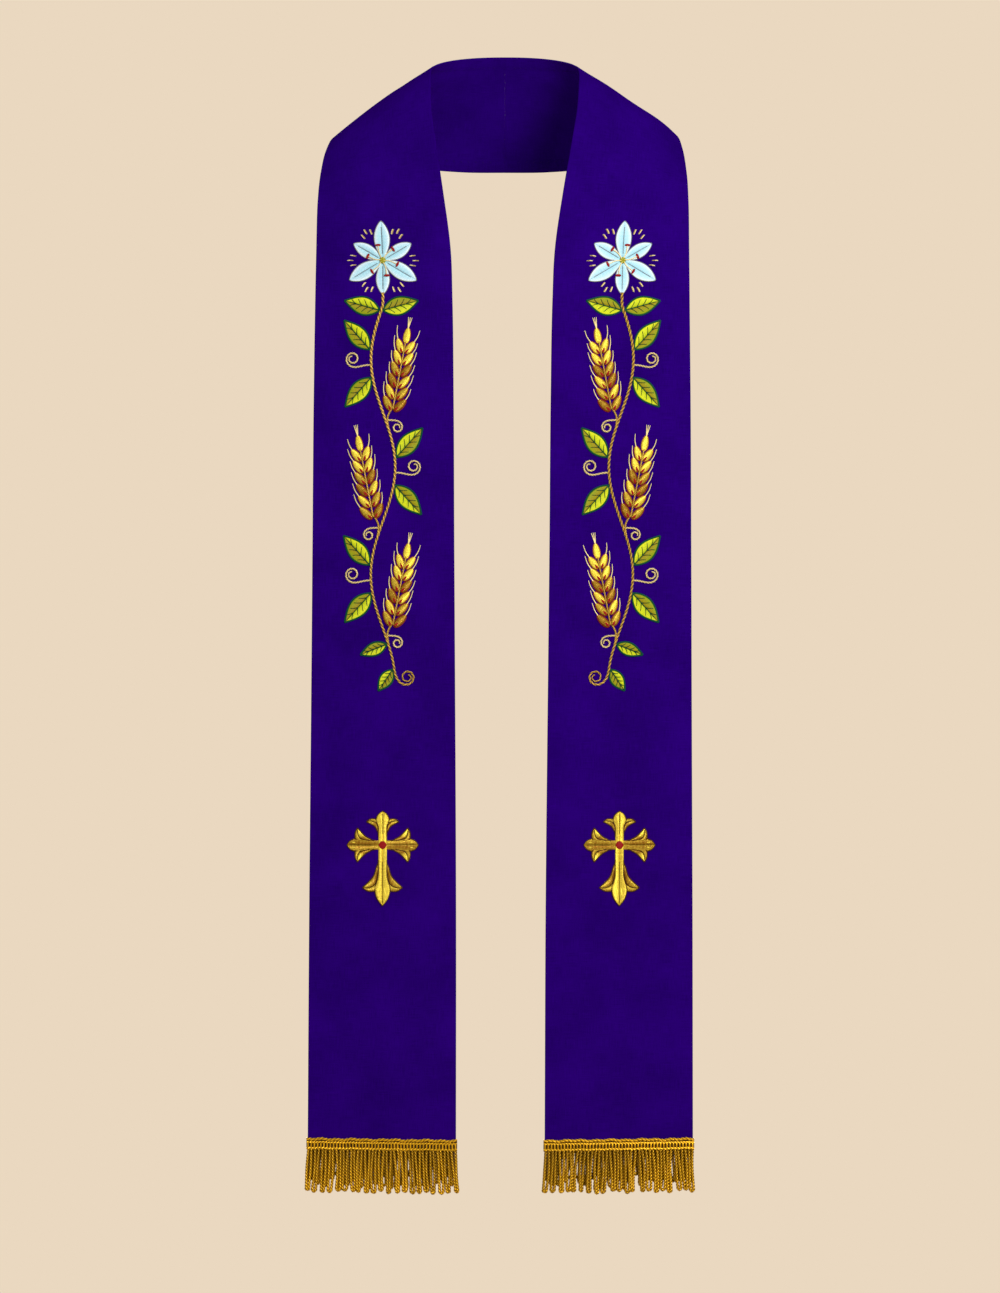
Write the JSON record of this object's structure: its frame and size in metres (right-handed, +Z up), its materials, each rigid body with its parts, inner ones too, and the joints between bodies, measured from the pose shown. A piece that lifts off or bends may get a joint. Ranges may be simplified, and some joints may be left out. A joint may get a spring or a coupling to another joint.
{
  "type": "clerical stole",
  "caption": "Long two-part cloth stole, worn round the neck with both ends hanging in front, with embroidered garlands, gold crosses and looped gold fringes.",
  "frame": {"origin": "the nape: the neck edge of the stole at its centre-back seam, where the wearer's neck holds it up", "axes": "+Z up; the wearer faces -Y; +X is the wearer's left"},
  "size_m": [0.398, 0.2076, 1.1725],
  "materials": {
    "violet_cloth": "smooth fine weave with a faint sheen",
    "gold_thread": "metallic embroidery and cord thread",
    "pale_blue_thread": "satin-stitched thread",
    "leaf_green_thread": "satin-stitched thread",
    "red_thread": "satin-stitched thread",
    "cream_thread": "fine outline thread"
  },
  "bodies": {
    "root": {"band_left": "violet_cloth", "fringe_left": "gold_thread", "cross_left": "gold_thread", "lily_left": "pale_blue_thread", "wheat_ear_left_1": "gold_thread", "wheat_ear_left_2": "gold_thread", "wheat_ear_left_3": "gold_thread", "leaf_left_1": "leaf_green_thread", "leaf_left_2": "leaf_green_thread", "leaf_left_3": "leaf_green_thread", "leaf_left_4": "leaf_green_thread", "leaf_left_5": "leaf_green_thread", "leaf_left_6": "leaf_green_thread", "leaf_left_7": "leaf_green_thread", "leaf_left_8": "leaf_green_thread", "band_right": "violet_cloth", "fringe_right": "gold_thread", "cross_right": "gold_thread", "lily_right": "pale_blue_thread", "wheat_ear_right_1": "gold_thread", "wheat_ear_right_2": "gold_thread", "wheat_ear_right_3": "gold_thread", "leaf_right_1": "leaf_green_thread", "leaf_right_2": "leaf_green_thread", "leaf_right_3": "leaf_green_thread", "leaf_right_4": "leaf_green_thread", "leaf_right_5": "leaf_green_thread", "leaf_right_6": "leaf_green_thread", "leaf_right_7": "leaf_green_thread", "leaf_right_8": "leaf_green_thread"}
  },
  "joints": []
}
